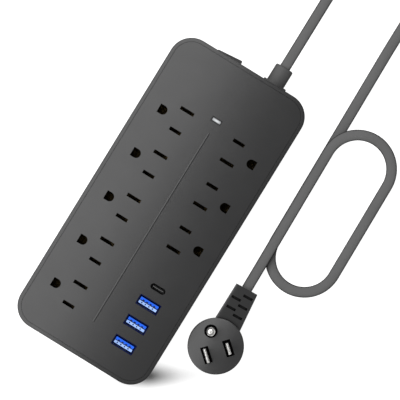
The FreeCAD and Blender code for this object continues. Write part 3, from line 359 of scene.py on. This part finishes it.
def make_materials():
    """One material for each of the record's material slots, and a grey for the USB-C tongue.

    Each crown is its middle and half width along X, its tilt in degrees and the height of full lean.
    """
    case_crown = (0.0, 0.042, CROWN_DEGREES, 0.0)
    plug_crown = (0.0676, 0.0155, 1.2 * CROWN_DEGREES, 0.0135)
    boot_crown = (0.0169, 0.006, 1.2 * CROWN_DEGREES, 0.0)
    return {
        "case_plastic": moulded_plastic("case_plastic", (0.022, 0.022, 0.0225), 0.32, crown=case_crown,
                                        dark_reach=0.0008, edge_mm=0.12),
        "rocker_plastic": moulded_plastic("rocker_plastic", (0.022, 0.022, 0.0225), 0.4, 0.3, 0.006),
        "inner_plastic": moulded_plastic("inner_plastic", (0.012, 0.012, 0.012), 0.7, shine=0.2,
                                         dark_reach=0.02),
        "contact_metal": plated_metal("contact_metal", (0.62, 0.45, 0.20), 0.4, dark_reach=0.02),
        "screw_steel": plated_metal("screw_steel", (0.55, 0.55, 0.52), 0.32),
        "lens_white": light_window("lens_white", (0, 0.0583, 0)),
        "led_epoxy": glossy("led_epoxy", (0.9, 0.9, 0.85), 0.1),
        "board_green": circuit_board("board_green"),
        "varistor_blue": glossy("varistor_blue", (0.01, 0.05, 0.25)),
        "fuse_white": glossy("fuse_white", (0.7, 0.7, 0.66)),
        # Navy: painted reflection of the blue insert in the metal shell
        "usb_metal": glossy("usb_metal", (0.0005, 0.004, 0.07), 0.5, shine=0.1),
        # Painted glow on the blue insert, and painted shade low in the port
        "usb_blue": glossy("usb_blue", (0.012, 0.11, 0.74), 0.4, 0.22, shine=0.15, sunk=(0.0255, 0.0275)),
        # Pale and glowing: painted reflection of light on the contact springs
        "usb_contact": glossy("usb_contact", (0.36, 0.55, 1.0), 0.3, 0.9),
        "usb_black": moulded_plastic("usb_black", (0.003, 0.003, 0.003), 0.6, shine=0.05),
        "usb_grey": moulded_plastic("usb_grey", (0.05, 0.05, 0.05), 0.4),
        "ferrite": moulded_plastic("ferrite", (0.03, 0.03, 0.028), 0.7),
        "capacitor_sleeve": glossy("capacitor_sleeve", (0.01, 0.01, 0.014)),
        "switch_black": moulded_plastic("switch_black", (0.02, 0.02, 0.021), 0.5),
        "black_insulation": glossy("black_insulation", (0.01, 0.01, 0.01), 0.35),
        "white_insulation": glossy("white_insulation", (0.75, 0.75, 0.75), 0.35),
        "green_insulation": glossy("green_insulation", (0.01, 0.18, 0.04), 0.35),
        "boot_rubber": moulded_plastic("boot_rubber", (0.055, 0.055, 0.055), 0.5, 0.25, 0.015, boot_crown),
        "cord_jacket": cord_jacket("cord_jacket", (0.127, 0.127, 0.127)),
        "plug_plastic": moulded_plastic("plug_plastic", (0.030, 0.030, 0.0305), 0.32, crown=plug_crown,
                                        dark_reach=0.003),
        "core_black": moulded_plastic("core_black", (0.004, 0.004, 0.004), 0.8, shine=0.0),
        "pin_metal": plated_metal("pin_metal", (0.72, 0.71, 0.69), 0.24),
    }


def paint_frame(materials):
    """Every CAD node takes the material of its slot in the record."""
    for part in frame["record"]["subparts"]:
        mesh = frame["nodes"][part["node"]].data
        mesh.materials.clear()
        mesh.materials.append(materials[part["material_slot"]])
    frame["nodes"]["usb_c_tongue"].data.materials[0] = materials["usb_grey"]


# ---------------------------------------------------------------- cord

def level_way(heading):
    return Vector((math.cos(math.radians(heading)), math.sin(math.radians(heading)), 0))


def follow(points, heading, moves):
    """Adds the points of moves, each a length, a turn in degrees and an end height, to a course."""
    for length, turn, end_z in moves:
        steps = max(4, math.ceil(length / STEP_MM))
        chord = length / steps
        if turn:
            half = math.radians(turn / steps / 2)
            chord *= math.sin(half) / half
        begin_z = points[-1].z
        for n in range(steps):
            part = (n + 1) / steps
            here = points[-1] + level_way(heading + turn * (n + 0.5) / steps) * chord
            here.z = begin_z + (end_z - begin_z) * part * part * (3 - 2 * part)
            points.append(here)
        heading += turn


def arc(radius, turn, end_z):
    return (radius * math.radians(abs(turn)), turn, end_z)


def run(length, end_z):
    return (length, 0, end_z)


def pivot_mm(joint):
    """Joint's pivot in millimetres."""
    found = next(j for j in frame["joints"] if j["name"] == joint)
    return Vector(found["pos_m"]) / MM


def lead_course():
    """From inside the case, out of the boot, down to the floor and round the coil."""
    exit_pivot = pivot_mm("cord_exit_bend")
    middle = pivot_mm("cord_middle_bend")
    points = [Vector((exit_pivot.x, CORD_IN_CASE_Y_MM, exit_pivot.z))]
    moves = [run(exit_pivot.y - CORD_IN_CASE_Y_MM, exit_pivot.z),
             run(LEAD_DROP_RUN_MM, FLOOR_Z_MM),
             run(COIL_START_Y_MM - exit_pivot.y - LEAD_DROP_RUN_MM, FLOOR_Z_MM)]
    for quarter in range(4 * COIL_TURNS):
        moves.append(arc(COIL_RADIUS_MM - quarter * COIL_PITCH_MM / 4, -90, FLOOR_Z_MM))
        moves.append(run(COIL_RUNS_MM[quarter % 2], FLOOR_Z_MM))
    inner_x = exit_pivot.x + COIL_TURNS * COIL_PITCH_MM
    moves.append(arc((middle.x - inner_x) / 2, -180, BRIDGE_Z_MM))
    follow(points, 90, moves)
    return points


def loop_lean():
    """Degrees by which the loop's straight strands lean from -Y towards +X."""
    middle = pivot_mm("cord_middle_bend")
    return math.degrees(math.atan2(LOOP_FOOT_MM[0] - middle.x, middle.y - LOOP_FOOT_MM[1]))


def tail_to_plug():
    """Where the cord's last stretch leaves the loop, and the level way from there to the plug."""
    start = Vector((LOOP_FOOT_MM[0], LOOP_FOOT_MM[1], 0)) + level_way(90 + loop_lean()) * LOOP_RUN_MM
    pivot = pivot_mm("plug_bend")
    return start, Vector((pivot.x, pivot.y, 0)) - start


def tail_slope():
    """Degrees by which the cord's last stretch leans towards +X on its way to the plug."""
    way = tail_to_plug()[1]
    return math.degrees(math.atan2(way.x, -way.y))


def loop_course(start):
    """From the coil's end, over its rows nearest the case, down beside the case and round the loop."""
    middle = pivot_mm("cord_middle_bend")
    lowest_row_y = COIL_START_Y_MM - COIL_RUNS_MM[1] - COIL_RADIUS_MM + 1.25 * COIL_PITCH_MM
    clear_y = lowest_row_y - CORD_RADIUS_MM - COIL_CLEARANCE_MM
    points = [start]
    follow(points, -90, [run(COIL_START_Y_MM - clear_y, BRIDGE_Z_MM), run(clear_y - middle.y, FLOOR_Z_MM)])
    foot = Vector((LOOP_FOOT_MM[0], LOOP_FOOT_MM[1], middle.z))
    follow(points, -90 + loop_lean(), [run((foot - middle).length, FLOOR_Z_MM),
                                       arc(LOOP_RADIUS_MM, 180, FLOOR_Z_MM),
                                       run(LOOP_RUN_MM, FLOOR_Z_MM),
                                       arc(LOOP_RADIUS_MM, 120, BRIDGE_Z_MM),
                                       arc(LOOP_RADIUS_MM, 60 + tail_slope() - loop_lean(), BRIDGE_Z_MM),
                                       run(TAIL_SPLIT_MM, BRIDGE_Z_MM)])
    return points


def tail_course(start):
    """From the crossing strand down into the plug's neck."""
    pivot = pivot_mm("plug_bend")
    to_pivot = (Vector((pivot.x, pivot.y, start.z)) - start).length
    points = [start]
    follow(points, -90 + tail_slope(), [run(to_pivot - TAIL_DROP_RUN_MM, BRIDGE_Z_MM),
                                        run(TAIL_DROP_RUN_MM, pivot.z),
                                        run(CORD_IN_PLUG_MM, pivot.z)])
    return points


def cord_ring(made, point, way):
    """Ring of vertices round a point of the cord, square to the way it runs there."""
    side = way.cross(Vector((0, 0, 1))).normalized()
    up = side.cross(way)
    ring = []
    for k in range(RING_SIDES):
        angle = 2 * math.pi * k / RING_SIDES
        out = side * math.cos(angle) + up * math.sin(angle)
        ring.append(made.verts.new((point + out * CORD_RADIUS_MM) * MM))
    return ring


def tube(name, course):
    """Round tube along a course, its UV running round it and along it."""
    mesh = bpy.data.meshes.new(name)
    made = bmesh.new()
    uv_layer = made.loops.layers.uv.new("UVMap")
    rings = []
    for n, point in enumerate(course):
        way = (course[min(n + 1, len(course) - 1)] - course[max(n - 1, 0)]).normalized()
        rings.append(cord_ring(made, point, way))
    travelled = 0.0
    for n in range(len(rings) - 1):
        step = (course[n + 1] - course[n]).length / UV_UNIT_MM
        for k in range(RING_SIDES):
            nxt = (k + 1) % RING_SIDES
            face = made.faces.new((rings[n][k], rings[n][nxt], rings[n + 1][nxt], rings[n + 1][k]))
            face.smooth = True
            corners = ((k, travelled), (k + 1, travelled), (k + 1, travelled + step), (k, travelled + step))
            for loop, (around, along) in zip(face.loops, corners):
                loop[uv_layer].uv = (around / RING_SIDES, along)
        travelled += step
    for ring in (rings[0], list(reversed(rings[-1]))):
        for edge in made.faces.new(ring).edges:
            edge.smooth = False
    bmesh.ops.recalc_face_normals(made, faces=made.faces)
    made.to_mesh(mesh)
    made.free()
    piece = bpy.data.objects.new(name, mesh)
    bpy.context.scene.collection.objects.link(piece)
    return piece


def build_cord(material):
    """Three lengths of cord, laid end to end along its course in place of the CAD cord."""
    lead_points = lead_course()
    loop_points = loop_course(lead_points[-1])
    tail_points = tail_course(loop_points[-1])
    lead = tube("cord_lead", lead_points)
    loop = tube("cord_loop", loop_points)
    tail = tube("cord_tail", tail_points)
    for piece in (lead, loop, tail):
        piece.data.materials.append(material)
    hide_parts("cord_entry", "supply_cord_coil")
    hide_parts("supply_cord_loop")
    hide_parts("plug_cord_end")
    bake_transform(lead)
    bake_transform(loop)
    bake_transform(tail)


# ---------------------------------------------------------------- stage, light and camera

def build_floor():
    """White paper just under the product, brightly lit, that doesn't hide the view from below."""
    mesh = bpy.data.meshes.new("floor")
    made = bmesh.new()
    bmesh.ops.create_grid(made, x_segments=1, y_segments=1, size=FLOOR_SIZE)
    made.to_mesh(mesh)
    made.free()
    floor = bpy.data.objects.new("floor", mesh)
    floor.location.z = -FLOOR_GAP
    bpy.context.scene.collection.objects.link(floor)
    mesh.materials.append(floor_paper())


def floor_paper():
    """Bright paper with one soft shadow, and clear when seen from its back."""
    mat, tree, bsdf = new_material("floor_paper")
    fibres = spread(tree, noise(tree, object_coords(tree), 700.0), 0.98, 1.0)
    tree.links.new(tint(tree, (0.5, 0.5, 0.5), fibres), bsdf.inputs["Base Color"])
    bsdf.inputs["Roughness"].default_value = 0.9
    bsdf.inputs["Specular IOR Level"].default_value = 0.0
    lit = remap(tree, shadow_depth(tree), 0.0, 1.0, 0.95, -0.15)
    seen = remap(tree, tree.nodes.new("ShaderNodeLightPath").outputs["Is Camera Ray"], 0.0, 1.0, 0.6, 1.0)
    tree.links.new(multiplied(tree, lit, seen), bsdf.inputs["Emission Strength"])
    bsdf.inputs["Emission Color"].default_value = (1, 1, 1, 1)
    clear_back = tree.nodes.new("ShaderNodeMixShader")
    tree.links.new(tree.nodes.new("ShaderNodeNewGeometry").outputs["Backfacing"], clear_back.inputs["Fac"])
    tree.links.new(bsdf.outputs["BSDF"], clear_back.inputs[1])
    tree.links.new(tree.nodes.new("ShaderNodeBsdfTransparent").outputs["BSDF"], clear_back.inputs[2])
    tree.links.new(clear_back.outputs["Shader"], tree.nodes["Material Output"].inputs["Surface"])
    return mat


def shadow_depth(tree):
    """Darkness of the soft shadow: deep beside the case and slowly fading to the picture's right."""
    turn = math.atan2(PICTURE_RIGHT.y, PICTURE_RIGHT.x)
    spot = parts_of(tree, mapped(tree, object_coords(tree), SHADOW_SIZE, "TEXTURE", SHADOW_PLACE, turn))
    along = tree.nodes.new("ShaderNodeValToRGB")
    along.color_ramp.interpolation = "B_SPLINE"
    for stop, (position, depth) in enumerate(SHADOW_STOPS):
        if stop < 2:
            element = along.color_ramp.elements[stop]
            element.position = position
        else:
            element = along.color_ramp.elements.new(position)
        element.color = (depth, depth, depth, 1)
    tree.links.new(remap(tree, spot["X"], -1.0, 1.0, 0.0, 1.0), along.inputs["Fac"])
    fall = place(tree, "ShaderNodeMapRange", From_Min=0.0, From_Max=1.0, To_Min=1.0, To_Max=0.0)
    fall.interpolation_type = "SMOOTHSTEP"
    tree.links.new(number_math(tree, "ABSOLUTE", spot["Y"]), fall.inputs["Value"])
    return multiplied(tree, along.outputs["Color"], fall.outputs["Result"])


def area_light(name, place_at, aim_at, size, power):
    light = bpy.data.lights.new(name, "AREA")
    light.shape = "RECTANGLE"
    light.size, light.size_y = size
    light.energy = power
    lamp = bpy.data.objects.new(name, light)
    lamp.location = place_at
    lamp.rotation_mode = "QUATERNION"
    lamp.rotation_quaternion = (Vector(aim_at) - Vector(place_at)).to_track_quat("-Z", "Y")
    lamp.visible_camera = False
    bpy.context.scene.collection.objects.link(lamp)


def build_light():
    """Even dim surroundings and a wide softbox over the left side, its edge almost overhead."""
    world = bpy.data.worlds.new("studio")
    world.use_nodes = True
    world.node_tree.nodes["Background"].inputs["Color"].default_value = (1, 1, 1, 1)
    world.node_tree.nodes["Background"].inputs["Strength"].default_value = SURROUND_STRENGTH
    bpy.context.scene.world = world
    bpy.context.scene.view_settings.view_transform = "Standard"
    width, depth = SOFTBOX_SIZE
    middle_x = SOFTBOX_EDGE_X - width / 2
    area_light("key", (middle_x, 0.0, SOFTBOX_HEIGHT), (middle_x, 0.0, 0.0), SOFTBOX_SIZE,
               SOFTBOX_RADIANCE * math.pi * width * depth)


def build_camera():
    data = bpy.data.cameras.new("camera")
    data.sensor_width = 36.0
    data.lens = data.sensor_width / (PICTURE_WIDTH / CAMERA_DISTANCE)
    data.clip_start = 0.1
    data.clip_end = 20.0
    camera = bpy.data.objects.new("camera", data)
    across, upwards = (math.tan(math.radians(angle)) for angle in CAMERA_TILTS)
    back = (Vector((0, 0, 1)) + PICTURE_RIGHT * across + PICTURE_UP * upwards).normalized()
    up = back.cross(PICTURE_RIGHT).normalized()
    turned = Matrix((up.cross(back), up, back)).transposed().to_4x4()
    camera.matrix_world = Matrix.Translation(PICTURE_CENTRE + back * CAMERA_DISTANCE) @ turned
    bpy.context.scene.collection.objects.link(camera)
    bpy.context.scene.camera = camera


materials = make_materials()
paint_frame(materials)
build_cord(materials["cord_jacket"])
build_floor()
build_light()
build_camera()
